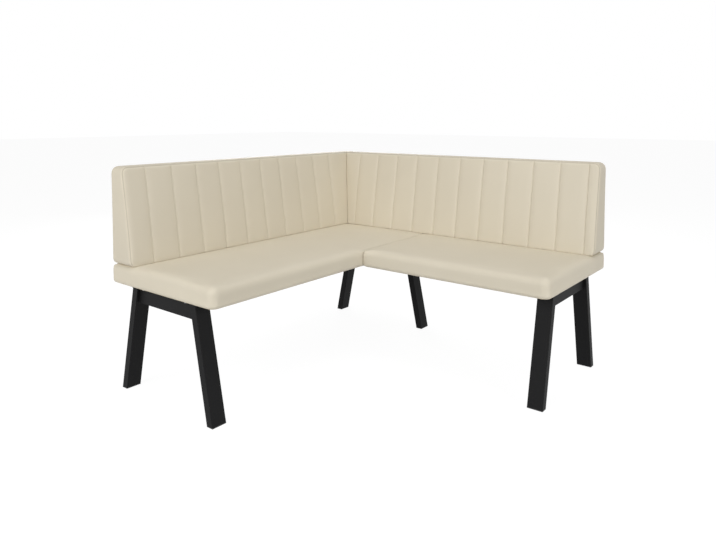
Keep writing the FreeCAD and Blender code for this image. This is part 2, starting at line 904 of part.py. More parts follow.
# Plates and fasteners
for number, joint_first in enumerate(joint_firsts, 1):
    save("seat_joint_plate_" + str(number), joint_plate(joint_first))
plate_screws = []
for spots in frame_screws.values():
    plate_screws += [screw(across, out, plate_bottom) for across, out in spots]
joint_face = seat_underside - joint_plate_thickness
plate_screws += [screw(across, out, joint_face) for across, out in joint_screws]
save("seat_screws", Part.makeCompound(plate_screws))
save("seat_inserts", Part.makeCompound([insert(across, out) for across, out in all_screws]))
save("back_bolts", Part.makeCompound([bolt(across, out) for across, out in all_bolts]))
save("back_washers", Part.makeCompound([washer(across, out) for across, out in all_bolts]))
save("back_tee_nuts", Part.makeCompound([tee_nut(across, out) for across, out in all_bolts]))
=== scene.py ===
import bmesh
import bpy
import json
import math
from mathutils import Matrix, Vector, noise
from mathutils.bvhtree import BVHTree


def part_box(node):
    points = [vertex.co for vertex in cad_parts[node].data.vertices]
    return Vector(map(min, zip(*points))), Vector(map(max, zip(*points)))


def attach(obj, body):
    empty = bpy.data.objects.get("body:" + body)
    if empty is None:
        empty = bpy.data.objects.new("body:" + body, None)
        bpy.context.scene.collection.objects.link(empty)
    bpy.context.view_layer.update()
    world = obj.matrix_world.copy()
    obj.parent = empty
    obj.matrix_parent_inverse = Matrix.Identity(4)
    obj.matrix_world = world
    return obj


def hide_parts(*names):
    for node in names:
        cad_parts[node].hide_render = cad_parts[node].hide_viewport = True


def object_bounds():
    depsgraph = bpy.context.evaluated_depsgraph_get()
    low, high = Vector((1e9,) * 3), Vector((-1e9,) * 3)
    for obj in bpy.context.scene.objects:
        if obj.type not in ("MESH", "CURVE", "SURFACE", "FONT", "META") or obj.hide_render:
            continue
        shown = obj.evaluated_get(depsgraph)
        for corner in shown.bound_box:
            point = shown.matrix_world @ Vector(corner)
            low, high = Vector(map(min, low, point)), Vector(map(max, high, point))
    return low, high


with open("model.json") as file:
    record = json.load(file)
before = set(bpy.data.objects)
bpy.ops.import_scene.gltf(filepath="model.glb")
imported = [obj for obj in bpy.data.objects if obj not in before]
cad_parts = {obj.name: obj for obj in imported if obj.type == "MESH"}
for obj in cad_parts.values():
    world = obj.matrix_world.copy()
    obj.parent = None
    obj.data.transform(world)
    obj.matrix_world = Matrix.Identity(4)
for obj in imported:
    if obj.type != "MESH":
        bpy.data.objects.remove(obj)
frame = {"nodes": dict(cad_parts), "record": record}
nodes = frame["nodes"]
cad_low, cad_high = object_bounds()

# Seat cushions
# Each seat is a foam block on a plywood board under one leatherette cover, which is pulled over
# the edges and stapled underneath. The foam crowns a little and its front swells. The cover's
# hem steps up where the lining covers its cut edge.
seat_top_radius = 0.024
seat_under_radius = 0.016
seat_wall_radius = 0.008
seat_joined_radius = 0.016
seat_press = 0.6
seat_joint_start = 0.012
seat_joint_run = 0.060
seat_joint_corner = 0.005
# Painted shade on the seat tops beside the joint between the seats.
seat_joint_shade = 0.24
seat_joint_reach = 0.014
seat_corner_radius = 0.035
seat_wall_corner_radius = 0.008
seat_crown = 0.004
seat_crown_room = 0.0035
seat_front_fall = 0.002
seat_side_swell = 0.002
seat_cut_spacing = 0.016
seat_hem_inset = 0.036
seat_hem_step = 0.0015
seat_ripple = 0.0006
seat_ripple_length = 0.11
seat_ripple_rise = 4
seat_pressure = 3.0
seat_give = 0.004
least_cut_gap = 0.0025
touching = 1e-6
least_move = 1e-7
arc_turns = [math.radians(turn) for turn in (30, 15, 0)]
cloth_frames = 20
leatherette_dark = (0.648, 0.590, 0.474, 1)
leatherette_light = (0.698, 0.638, 0.516, 1)
# Painted shade: the colour mixed in where the seam attribute marks seams, strips and the seats' joint.
leatherette_painted_shade = (0.38, 0.33, 0.25, 1)
leatherette_grain = 900
leatherette_patch = 4


def from_bench(bench):
    """Turns depth from a bench's wall, length along it and height into places in the room."""
    if bench == "long":
        rows = ((1, 0, 0, cad_low.x), (0, -1, 0, cad_high.y), (0, 0, 1, 0), (0, 0, 0, 1))
    else:
        rows = ((0, 1, 0, cad_low.x), (-1, 0, 0, cad_high.y), (0, 0, 1, 0), (0, 0, 0, 1))
    return Matrix(rows)


def bench_box(bench, node):
    """A node's lowest and highest depth, length and height."""
    first, last = [from_bench(bench).inverted() @ Vector(corner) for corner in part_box(node)]
    return Vector(map(min, first, last)), Vector(map(max, first, last))


def ramp(value):
    """A rise from zero to one that stays level past both ends."""
    return min(max(value, 0), 1)


def cut_places(low, high, low_radii, high_radii, spacing, lines=()):
    """Where to cut a side so that its rounded ends turn evenly and the rest has even steps."""
    places = {low, high, *lines}
    for radius in low_radii:
        places.update(low + radius * (1 - math.tan(turn)) for turn in arc_turns)
    for radius in high_radii:
        places.update(high - radius * (1 - math.tan(turn)) for turn in arc_turns)
    firm = [low, *lines, high]
    free = [place for place in places if all(abs(place - line) > least_cut_gap for line in firm)]
    kept = [low]
    for place in sorted({*firm[1:], *free}):
        last = kept[-1]
        if place - last < least_cut_gap and place not in firm:
            continue
        steps = max(1, math.ceil((place - last) / spacing))
        kept += [last + (place - last) * (i + 1) / steps for i in range(steps)]
    return kept[1:-1]


def cut_across(bm, axis, place):
    """Cuts a mesh along a plane square to one axis."""
    normal = Vector([float(i == axis) for i in range(3)])
    geometry = bm.verts[:] + bm.edges[:] + bm.faces[:]
    bmesh.ops.bisect_plane(bm, geom=geometry, plane_co=normal * place, plane_no=normal, dist=touching)


def grid_block(low, high, cuts):
    """A block whose faces are cut into a grid."""
    bm = bmesh.new()
    place = Matrix.Translation((low + high) / 2) @ Matrix.Diagonal((*(high - low), 1))
    bmesh.ops.create_cube(bm, size=1, matrix=place)
    for axis, places in enumerate(cuts):
        for cut in places:
            cut_across(bm, axis, cut)
    return bm


def round_edge(inset, gap, radius, press=1):
    """Moves a point near a square edge onto the rounded one, by its distances from both faces."""
    across = radius - inset
    down = radius - gap
    if across <= 0 or down <= 0:
        return inset, gap
    share = max(across, down) / math.hypot(across, down)
    return radius - across * share, (radius - down * share) * press


def soften(bm, low, high, axes, corner_radii, edge_radii):
    """Rounds a block: its corners across the first two axes, then the edges round both faces."""
    for vert in bm.verts:
        sides = [int(vert.co[axis] - low[axis] > high[axis] - vert.co[axis]) for axis in axes]
        gaps = [
            high[axis] - vert.co[axis] if side else vert.co[axis] - low[axis]
            for axis, side in zip(axes, sides)
        ]
        first, second, presses = edge_radii(vert.co, sides)
        corner = corner_radii[sides[0]][sides[1]]
        across, along = corner - gaps[0], corner - gaps[1]
        if across > 0 and along > 0:
            reach = math.hypot(across, along)
            turn = (across / reach, along / reach)
            radius = first * turn[0] ** 2 + second * turn[1] ** 2
            inset, gaps[2] = round_edge(corner - max(across, along), gaps[2], radius)
            reach = max(corner - inset, 0)
            gaps[0] = (corner - reach * turn[0]) * presses[1]
            gaps[1] = corner - reach * turn[1]
        else:
            gaps[0], gaps[2] = round_edge(gaps[0], gaps[2], first, presses[0])
            gaps[1], gaps[2] = round_edge(gaps[1], gaps[2], second, presses[1])
        for axis, side, gap in zip(axes, sides, gaps):
            vert.co[axis] = high[axis] - gap if side else low[axis] + gap


def blown(bm, held, pressure, give):
    """Blows a cover up by cloth simulation. Held points stay, and no point moves past its give."""
    mesh = bpy.data.meshes.new("cover")
    bm.to_mesh(mesh)
    cover = bpy.data.objects.new("cover", mesh)
    bpy.context.scene.collection.objects.link(cover)
    group = cover.vertex_groups.new(name="held")
    group.add([vert.index for vert in mesh.vertices if held(vert.co)], 1.0, "REPLACE")
    cloth = cover.modifiers.new("cover", "CLOTH")
    cloth.settings.quality = 6
    cloth.settings.mass = 0.3
    cloth.settings.tension_stiffness = 20
    cloth.settings.compression_stiffness = 20
    cloth.settings.shear_stiffness = 8
    cloth.settings.bending_stiffness = 2
    cloth.settings.use_pressure = True
    cloth.settings.uniform_pressure_force = pressure
    cloth.settings.vertex_group_mass = group.name
    cloth.settings.effector_weights.gravity = 0
    cloth.collision_settings.use_collision = False
    cloth.point_cache.frame_end = cloth_frames
    for number in range(1, cloth_frames + 1):
        bpy.context.scene.frame_set(number)
    shown = cover.evaluated_get(bpy.context.evaluated_depsgraph_get())
    moves = [vert.co - mesh.vertices[vert.index].co for vert in shown.data.vertices]
    bpy.data.objects.remove(cover)
    bpy.context.scene.frame_set(1)
    for vert, move in zip(bm.verts, moves):
        if move.length > least_move:
            vert.co += move * (give * (1 - math.exp(-move.length / give)) / move.length)


def placed(bm, name, material, bench=None):
    """Turns a mesh into a piece that stands in the room."""
    if bench:
        bmesh.ops.transform(bm, matrix=from_bench(bench), verts=bm.verts)
    bmesh.ops.recalc_face_normals(bm, faces=bm.faces)
    mesh = bpy.data.meshes.new(name)
    bm.to_mesh(mesh)
    bm.free()
    mesh.materials.append(material)
    piece = bpy.data.objects.new(name, mesh)
    bpy.context.scene.collection.objects.link(piece)
    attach(piece, "root")
    return piece


def upholstered(bm, name, bench, *replaced):
    """A padded piece in leatherette, in place of its plain solids."""
    for face in bm.faces:
        face.smooth = True
    piece = placed(bm, name, leatherette, bench)
    rounding = piece.modifiers.new("rounding", "SUBSURF")
    rounding.levels = 1
    rounding.render_levels = 1
    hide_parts(*replaced)
    return piece


def finish_nodes(slot, material):
    """Gives every solid in a slot its material."""
    for subpart in frame["record"]["subparts"]:
        if subpart["material_slot"] == slot:
            node = nodes[subpart["node"]]
            node.data.materials.clear()
            node.data.materials.append(material)


def grain_group():
    """A fine grain for bumps and a slow mottle for tones, which a stretch draws out one way."""
    group = bpy.data.node_groups.new("grain", "ShaderNodeTree")
    for name in ("Vector", "Stretch"):
        group.interface.new_socket(name, in_out="INPUT", socket_type="NodeSocketVector")
    for name in ("Grain scale", "Mottle scale"):
        group.interface.new_socket(name, in_out="INPUT", socket_type="NodeSocketFloat")
    for name in ("Height", "Mottle"):
        group.interface.new_socket(name, in_out="OUTPUT", socket_type="NodeSocketFloat")
    inputs = group.nodes.new("NodeGroupInput")
    outputs = group.nodes.new("NodeGroupOutput")
    drawn = group.nodes.new("ShaderNodeVectorMath")
    drawn.operation = "MULTIPLY"
    link = group.links.new
    link(inputs.outputs["Vector"], drawn.inputs[0])
    link(inputs.outputs["Stretch"], drawn.inputs[1])
    for scale, detail, result in (("Grain scale", 4, "Height"), ("Mottle scale", 3, "Mottle")):
        texture = group.nodes.new("ShaderNodeTexNoise")
        texture.inputs["Detail"].default_value = detail
        link(drawn.outputs[0], texture.inputs["Vector"])
        link(inputs.outputs[scale], texture.inputs["Scale"])
        link(texture.outputs[0], outputs.inputs[result])
    return group


def shader_of(material):
    """The shader that a material's other nodes lead to."""
    return material.node_tree.nodes["Principled BSDF"]


def grained(name, dark, light, roughness, grain_scale, mottle_scale, depth, stretch=(1, 1, 1)):
    """A material with a mottled colour and a fine bump."""
    material = bpy.data.materials.new(name)
    material.use_nodes = True
    tree = material.node_tree
    shader = shader_of(material)
    shader.inputs["Roughness"].default_value = roughness
    place = tree.nodes.new("ShaderNodeTexCoord")
    place.name = "place"
    texture = tree.nodes.new("ShaderNodeGroup")
    texture.node_tree = grain
    texture.inputs["Stretch"].default_value = stretch
    texture.inputs["Grain scale"].default_value = grain_scale
    texture.inputs["Mottle scale"].default_value = mottle_scale
    tones = tree.nodes.new("ShaderNodeMix")
    tones.name = "tones"
    tones.data_type = "RGBA"
    tones.inputs["A"].default_value = dark
    tones.inputs["B"].default_value = light
    bump = tree.nodes.new("ShaderNodeBump")
    bump.name = "bump"
    bump.inputs["Strength"].default_value = 0.3
    bump.inputs["Distance"].default_value = depth
    link = tree.links.new
    link(place.outputs["Object"], texture.inputs["Vector"])
    link(texture.outputs["Mottle"], tones.inputs["Factor"])
    link(tones.outputs["Result"], shader.inputs["Base Color"])
    link(texture.outputs["Height"], bump.inputs["Height"])
    link(bump.outputs["Normal"], shader.inputs["Normal"])
    return material


def leatherette_material():
    """Smooth cream leatherette with a pebbled grain, and shade painted into its colour: a little
    darker down in the seams, on the strips and beside the seats' joint.
    """
    material = grained(
        "cream_leatherette", leatherette_dark, leatherette_light,
        roughness=0.5, grain_scale=leatherette_grain, mottle_scale=leatherette_patch, depth=0.0003,
    )
    shader = shader_of(material)
    shader.inputs["Specular IOR Level"].default_value = 0.25
    tree = material.node_tree
    place, tones, bump = [tree.nodes[name] for name in ("place", "tones", "bump")]
    pebbles = tree.nodes.new("ShaderNodeTexVoronoi")
    pebbles.feature = "SMOOTH_F1"
    pebbles.inputs["Scale"].default_value = leatherette_grain
    summed = tree.nodes.new("ShaderNodeMath")
    summed.operation = "ADD"
    # The seam attribute mixes painted shade into the colour.
    seam = tree.nodes.new("ShaderNodeAttribute")
    seam.attribute_name = "seam"
    painted_shade = tree.nodes.new("ShaderNodeMix")
    painted_shade.data_type = "RGBA"
    painted_shade.inputs["B"].default_value = leatherette_painted_shade
    link = tree.links.new
    link(place.outputs["Object"], pebbles.inputs["Vector"])
    link(pebbles.outputs["Distance"], summed.inputs[0])
    link(bump.inputs["Height"].links[0].from_socket, summed.inputs[1])
    link(summed.outputs[0], bump.inputs["Height"])
    link(tones.outputs["Result"], painted_shade.inputs["A"])
    link(seam.outputs["Fac"], painted_shade.inputs["Factor"])
    link(painted_shade.outputs["Result"], shader.inputs["Base Color"])
    return material


grain = grain_group()
leatherette = leatherette_material()
finish_nodes("leatherette", leatherette)
back_depth = bench_box("long", "long_back_front_pad")[1].x


def seat_cuts(bench, low, high):
    """Where a seat's block is cut: at its rounded edges, its hem and beside the joint."""
    hem = [seat_hem_inset - seat_hem_step, seat_hem_inset]
    depth_lines = [low.x + inset for inset in hem] + [high.x - inset for inset in hem]
    length_lines = [low.y + inset for inset in hem] + [high.y - inset for inset in hem]
    if bench == "long":
        length_lines += [high.x, high.x + seat_joint_reach]
    walls = [seat_wall_radius, seat_under_radius, seat_wall_corner_radius]
    tops = [seat_wall_radius, seat_top_radius]
    ends = [
        seat_under_radius, seat_joined_radius, seat_top_radius, seat_wall_corner_radius,
        seat_corner_radius,
    ]
    return [
        cut_places(low.x, high.x, walls, ends, seat_cut_spacing, depth_lines),
        cut_places(low.y, high.y, [seat_joined_radius], ends, seat_cut_spacing, length_lines),
        cut_places(low.z, high.z, [seat_under_radius], tops, seat_cut_spacing),
    ]


def seat_block(bench, low, high):
    """A seat's rounded block, with shade painted on top beside the joint with the other seat."""
    bm = grid_block(low, high, seat_cuts(bench, low, high))
    joint_painted_shade = bm.verts.layers.float.new("seam")
    # Painted shade in the valley on top beside the seats' joint, fading out towards the backrest.
    for vert in bm.verts:
        depth, along, _ = vert.co
        gap, run = along - low.y, depth
        if bench == "long":
            gap, run = max(high.x - depth, along - high.x), along
        fade = ramp((run - back_depth) / seat_joint_run)
        on_top = vert.co.z > high.z - least_cut_gap
        vert[joint_painted_shade] = seat_joint_shade * max(1 - gap / seat_joint_reach, 0) * fade * on_top

    def edge_radii(place, sides):
        """Edges where the seats press on each other are shallow, and close under the backrest."""
        first = seat_under_radius if not sides[2] else (seat_wall_radius, seat_top_radius)[sides[0]]
        second = seat_under_radius if not sides[2] else seat_top_radius
        run = place.y if bench == "long" else place.x
        opening = ramp((run - back_depth - seat_joint_start) / seat_joint_run) * seat_joined_radius
        if bench == "long":
            pressed = sides[0] and run < high.x
            return (opening if pressed else first), second, (seat_press if pressed else 1, 1)
        pressed = not sides[1]
        return first, (opening if pressed else second), (1, seat_press if pressed else 1)

    near_corners = (seat_joined_radius, seat_wall_corner_radius)
    far_corners = (seat_joint_corner, seat_corner_radius)
    soften(bm, low, high, (0, 1, 2), (near_corners, far_corners), edge_radii)
    return bm


def crown_seat(bm, bench, low, high):
    """Crowns and ripples the top, steps the hem up underneath and swells the front."""
    middle = (low.z + high.z) / 2
    for vert in bm.verts:
        depth, along, height = vert.co
        forward = ramp((depth - back_depth) / (high.x - back_depth))
        rise = ramp((along - back_depth) / back_depth) if bench == "long" else 1
        inside = min(depth - low.x, high.x - depth, along - low.y, high.y - along)
        if height > middle:
            swell = (1 - math.cos(math.pi * rise)) / 2
            vert.co.z += (seat_crown * 4 * forward * (1 - forward) - seat_front_fall * forward) * swell
            ripple = noise.noise(vert.co / seat_ripple_length) * seat_ripple
            vert.co.z += ripple * min(forward * seat_ripple_rise, 1) * min(inside / seat_top_radius, 1)
        elif height < low.z + seat_hem_step and inside > seat_hem_inset - seat_hem_step / 2:
            vert.co.z += seat_hem_step
        if depth > high.x - seat_top_radius:
            bow = 1 - ((height - middle) / (high.z - middle)) ** 2
            vert.co.x += seat_side_swell * (1 if bench == "long" and along < high.x else bow)


def seat_cushion(bench):
    """One seat, flat where a backrest stands on it and crowned in front of that."""
    low, high = bench_box(bench, bench + "_seat_cushion")
    high.x -= seat_side_swell
    high.z -= seat_crown_room
    bm = seat_block(bench, low, high)
    crown_seat(bm, bench, low, high)

    def held(place):
        """The board's edge, the other seat and the backrests hold the cover where it is."""
        under = place.z < low.z + seat_under_radius
        if bench == "long":
            pressed = place.y < high.x and place.x > high.x + seat_side_swell - least_cut_gap / 2
            return under or pressed or min(place.x, place.y) < back_depth
        return under or place.x < back_depth or place.y < low.y + least_cut_gap / 2

    blown(bm, held, seat_pressure, seat_give)
    return upholstered(bm, bench + "_seat", bench, bench + "_seat_cushion")


for bench in ("long", "short"):
    seat_cushion(bench)

# Lining
# Black spunbond sheet that closes the underside of each seat inside the cover's hem. Wire
# staples hold its edge to the board, and the screws and bolts go through it.
staple_length = 0.010
staple_wire = 0.0009
staple_inset = 0.007
staple_pitch = 0.055
staple_skew = 0.35
staple_skew_scales = (31, 37)
lining = grained(
    "black_spunbond", (0.012, 0.012, 0.013, 1), (0.030, 0.030, 0.032, 1),
    roughness=0.9, grain_scale=1500, mottle_scale=260, depth=0.0003,
)
steel = grained(
    "zinc_steel", (0.45, 0.45, 0.47, 1), (0.62, 0.62, 0.63, 1),
    roughness=0.36, grain_scale=700, mottle_scale=60, depth=0.00003,
)
shader_of(steel).inputs["Metallic"].default_value = 1.0
finish_nodes("lining", lining)
finish_nodes("zinc_steel", steel)


def rounded(bm, edges, offset, segments):
    """Rounds the edges of a hard piece."""
    bmesh.ops.bevel(
        bm, geom=list(edges), offset=offset, offset_type="OFFSET", segments=segments, profile=0.5,
        affect="EDGES", material=-1,
    )


def staple_places(low, high):
    """Places and turns of the staples round a lining's edge."""
    inset = Vector((staple_inset, staple_inset, 0))
    low, high = low + inset, high - inset
    for axis in (0, 1):
        span = high[axis] - low[axis]
        count = int(span // staple_pitch)
        for i in range(1, count):
            for edge in (low[1 - axis], high[1 - axis]):
                place = [0.0, 0.0]
                place[axis] = low[axis] + span * i / count
                place[1 - axis] = edge
                spot = [value * scale for value, scale in zip(place, staple_skew_scales)]
                skew = noise.noise(Vector((*spot, axis))) * staple_skew
                yield place, skew + axis * math.pi / 2


def staples(bench):
    """The staples of one seat, left out where the leg frames' plates lie."""
    low, high = bench_box(bench, bench + "_seat_liner")
    plate_nodes = [node for node in nodes if node.endswith("_top_plate") or "_joint_plate_" in node]
    plates = [bench_box(bench, node) for node in plate_nodes]
    bm = bmesh.new()
    for place, turn in staple_places(low, high):
        hidden = any(
            all(first[i] - staple_length < place[i] < last[i] + staple_length for i in (0, 1))
            for first, last in plates
        )
        if not hidden:
            matrix = Matrix.Translation((*place, low.z)) @ Matrix.Rotation(turn, 4, "Z")
            matrix = matrix @ Matrix.Diagonal((staple_length, staple_wire, staple_wire, 1))
            bmesh.ops.create_cube(bm, size=1, matrix=matrix)
    rounded(bm, bm.edges, staple_wire / 4, segments=1)
    placed(bm, bench + "_seat_staples", steel, bench)


for bench in ("long", "short"):
    staples(bench)

# Boards and timber
# The plywood seat boards and front panels, the pine rails and ribs and the hardboard rear panels
# inside the padding. They are sawn to size, glued and stapled together.
plywood = grained(
    "birch_plywood", (0.52, 0.38, 0.22, 1), (0.68, 0.53, 0.34, 1),
    roughness=0.6, grain_scale=240, mottle_scale=14, depth=0.0002, stretch=(1, 1, 12),
)
timber = grained(
    "pine", (0.56, 0.40, 0.23, 1), (0.74, 0.58, 0.37, 1),
    roughness=0.6, grain_scale=220, mottle_scale=16, depth=0.0002, stretch=(1, 1, 7),
)
hardboard = grained(
    "hardboard", (0.16, 0.09, 0.045, 1), (0.25, 0.15, 0.08, 1),
    roughness=0.7, grain_scale=900, mottle_scale=220, depth=0.0002,
)
finish_nodes("plywood", plywood)
finish_nodes("timber", timber)
finish_nodes("hardboard", hardboard)

# Backrests
# Each backrest is a timber and hardboard frame under foam and one leatherette cover. The front
# panel is sewn through to the foam in upright channels, and a plain strip is sewn round it over
# the top and the free end. Another seam joins the strip to the rear.
back_top_radius = 0.011
back_bottom_radius = 0.006
back_side_radius = 0.012
back_rear_radius = 0.008
back_rear_bottom_radius = 0.003
back_joined_radius = 0.003
back_corner_radius = 0.028
back_foot_radius = 0.022
back_cut_spacing = 0.016
back_depth_spacing = 0.024
back_top_depth = 0.073
back_lean_start = 0.030
back_lean_end = 0.035
back_front_reach = 0.024
back_front_run = 0.016
back_belly = 0.003
back_flat_share = 0.1
back_swell_run = 0.060
back_fit = 0.0006
scribe_run = 0.025
seam_pitch = 0.120
least_seam_margin = 0.042
seam_depth = 0.0035
seam_sharpness = 28
seam_least_share = 0.5
seam_shoulder = 0.0038
seam_cuts = (0.0012, 0.0025)
seam_crease = 0.0002
strip_crease = 0.0005
# Painted shade mixed into the cover's colour: darkest at the edge and rear seams, then the top strip,
# the end strip and the channels.
seam_shade = 0.75
strip_shade = 0.1
top_strip_shade = 0.25
channel_shade = 0.05
rear_seam_inset = 0.014
rear_seam_reach = 0.0005
pucker_height = 0.0007
pucker_length = 0.018
pucker_reach = 0.020
panel_band = 0.010
panel_top_margin = 0.003
sewn_width = 0.001
sewn_depth = 0.030
rear_band = 0.002
bottom_hold = 0.004
corner_hold = 0.010
back_pressure = 4.0
back_give = 0.0012


def seam_places(start, end):
    """As many seams as fit at their pitch, centred, without those behind the other backrest."""
    pitches = int((end - start - 2 * least_seam_margin) // seam_pitch)
    first = (start + end - pitches * seam_pitch) / 2
    places = [first + i * seam_pitch for i in range(pitches + 1)]
    return [place for place in places if place > back_depth + least_seam_margin / 2]


def seam_gap(along, seams):
    """How far a place along the backrest is from the nearest seam."""
    return min(abs(along - seam) for seam in seams)


def front_depth(height, low, high):
    """How far the leaning front stands from the wall at a height."""
    slope = (back_depth - back_top_depth) / (high.z - low.z)
    return back_depth - slope * (height - low.z)


def back_cuts(low, high, seams):
    """Where a backrest's block is cut: at its rounded edges, its channels and its rear seam."""
    shoulders = [seam + offset for seam in seams for offset in (-seam_shoulder, seam_shoulder)]
    rear_seams = [low.y + rear_seam_inset, high.y - rear_seam_inset]
    free_end = [back_side_radius, back_foot_radius, back_corner_radius]
    foot = [back_bottom_radius, back_foot_radius]
    top = [back_top_radius, back_corner_radius]
    return [
        cut_places(low.x, high.x, [back_rear_radius], [back_top_radius], back_depth_spacing),
        cut_places(
            low.y, high.y, [back_joined_radius], free_end, back_cut_spacing,
            [*seams, *shoulders, *rear_seams],
        ),
        cut_places(low.z, high.z, foot, top, back_cut_spacing, [high.z - rear_seam_inset]),
    ]


def back_block(low, high, seams):
    """A backrest's rounded block before it leans, with shade painted on its strip and along its seams.
    """
    bm = grid_block(low, high, back_cuts(low, high, seams))
    painted_shade = bm.verts.layers.float.new("seam")
    for vert in bm.verts:
        on_front, on_end, on_top = [abs(vert.co[i] - high[i]) < touching for i in range(3)]
        # Painted shade: darkest along the front panel's edge seam, lighter on the top strip and
        # lightest on the end strip.
        if on_end or on_top:
            vert[painted_shade] = seam_shade if on_front else (top_strip_shade if on_top else strip_shade)
    joined = back_joined_radius

    def edge_radii(place, sides):
        """The front edges are full and the rear ones tight."""
        end, foot, top = back_rear_radius, back_rear_bottom_radius, back_rear_radius
        if sides[2]:
            end, foot, top = back_side_radius, back_bottom_radius, back_top_radius
        return (joined, end)[sides[0]], (foot, top)[sides[1]], (1, 1)

    corner_radii = ((joined, joined), (back_foot_radius, back_corner_radius))
    soften(bm, low, high, (1, 2, 0), corner_radii, edge_radii)
    return bm, painted_shade


def lean_back(bm, bench, low, high, seams):
    """Leans the front, swells it between its channels and fits the short backrest to the long."""
    middle = (low.z + high.z) / 2
    for vert in bm.verts:
        depth, along, height = vert.co
        lean = front_depth(height, low, high) - back_depth
        moved = ramp((depth - back_lean_start) / (back_depth - back_lean_end - back_lean_start))
        front = ramp((depth - back_depth + back_front_reach) / back_front_run)
        nearness = max(1 - seam_gap(along, seams) / (seam_pitch / 2), 0)
        channel = seam_depth * nearness ** seam_sharpness
        fade = min(max((high.z - height) / back_top_radius, seam_least_share), 1)
        bow = max(1 - ((height - middle) / (high.z - middle)) ** 2, 0)
        swell = ramp((along - back_depth) / back_swell_run)
        belly = back_belly * bow * (back_flat_share + (1 - back_flat_share) * swell)
        vert.co.x += lean * moved + front * (belly - channel * fade)
        if bench == "short" and along < back_depth + scribe_run:
            scribed = front_depth(height, low, high) + back_fit
            run = (along - low.y) / scribe_run
            vert.co.y = scribed + (back_depth + scribe_run - scribed) * run


def crease_seams(bm, painted_shade, low, high, seams):
    """Sinks the seams into the blown cover, paints shade along the rear seam and down the channels,
    and puckers the cover beside the front panel's edge.
    """
    for seam in seams:
        for offset in seam_cuts:
            cut_across(bm, 1, seam - offset)
            cut_across(bm, 1, seam + offset)
    bm.normal_update()
    for vert in bm.verts:
        depth, along, height = vert.co
        on_front = depth > front_depth(height, low, high) - panel_band
        on_front = on_front and height < high.z - panel_top_margin
        crease = max(1 - seam_gap(along, seams) / seam_cuts[1], 0) if on_front else 0
        edge = min(along - low.y, high.y - along, high.z - height)
        push = seam_crease * crease + strip_crease * (vert[painted_shade] > top_strip_shade)
        # Painted shade and a crease along the rear seam.
        if depth < rear_band and abs(edge - rear_seam_inset) < rear_seam_reach:
            vert[painted_shade] = seam_shade
            push = strip_crease
        rim = min(high.y - along, high.z - height)
        if on_front and rim < pucker_reach:
            wave = noise.noise(Vector((along, height, 0)) / pucker_length)
            push += pucker_height * wave * (1 - rim / pucker_reach) * (vert[painted_shade] == 0)
        vert.co -= vert.normal * push
        # Painted shade down the channels.
        vert[painted_shade] = max(vert[painted_shade], crease * channel_shade)


def backrest(bench):
    """One backrest, with its seams' places and the heights of its foot and top."""
    pads = ["front_pad", "top_pad", "free_end_pad", "corner_end_pad"]
    pads = [bench + "_back_" + pad for pad in pads]
    boxes = [bench_box(bench, pad) for pad in pads]
    start = 0.0 if bench == "long" else back_depth
    low = Vector((0.0, start, min(box[0].z for box in boxes)))
    high = Vector((back_depth, max(box[1].y for box in boxes), max(box[1].z for box in boxes)))
    seams = seam_places(start, high.y)
    bm, painted_shade = back_block(low, high, seams)
    lean_back(bm, bench, low, high, seams)

    def held(place):
        """The channels' thread, the frame and the other backrest hold the cover where it is."""
        front = front_depth(place.z, low, high)
        seam = seam_gap(place.y, seams) < sewn_width and place.x > front - sewn_depth
        rear = place.x < rear_band or place.z < low.z + bottom_hold
        corner = place.y < (back_depth if bench == "long" else front + corner_hold)
        return seam or rear or corner

    blown(bm, held, back_pressure, back_give)
    crease_seams(bm, painted_shade, low, high, seams)
    upholstery = upholstered(bm, bench + "_backrest", bench, *pads, bench + "_back_rear_cover")
    return upholstery, seams, low.z, high.z


# Stitches
# Cream thread, sewn through the cover and its foam in short lock stitches, one row down each
# channel. The thread pulls the cover in, and each stitch lies along the finished surface.
stitch_pitch = 0.0062
stitch_length = 0.0050
stitch_width = 0.0012
stitch_margin = 0.004
probe_distance = 1
thread = grained(
    "cream_thread", (0.64, 0.58, 0.47, 1), (0.72, 0.66, 0.54, 1),
    roughness=0.65, grain_scale=2500, mottle_scale=40, depth=0.0001,
)


def stitches(bench, upholstery, seams, low, high):
    """The rows of stitches in one backrest's channels, laid where a probe meets its front."""
    surface = BVHTree.FromObject(upholstery, bpy.context.evaluated_depsgraph_get())
    room = from_bench(bench)
    inward = room.to_3x3() @ Vector((-1, 0, 0))
    up = Vector((0, 0, 1))
    count = int((high - low - 2 * stitch_margin) // stitch_pitch)
    bm = bmesh.new()
    for seam in seams:
        for i in range(count):
            height = low + stitch_margin + (i + 0.5) * stitch_pitch
            probe = room @ Vector((probe_distance, seam, height))
            place, normal, *_ = surface.ray_cast(probe, inward)
            if place is None:
                continue
            along = (up - normal * up.dot(normal)).normalized()
            side = normal.cross(along)
            turn = Matrix((along, side, normal)).transposed().to_4x4()
            size = Matrix.Diagonal((stitch_length, stitch_width, stitch_width, 1))
            matrix = Matrix.Translation(place) @ turn @ size
            bmesh.ops.create_icosphere(bm, subdivisions=1, radius=0.5, matrix=matrix)
    for face in bm.faces:
        face.smooth = True
    placed(bm, bench + "_back_stitches", thread)


for bench in ("long", "short"):
    stitches(bench, *backrest(bench))

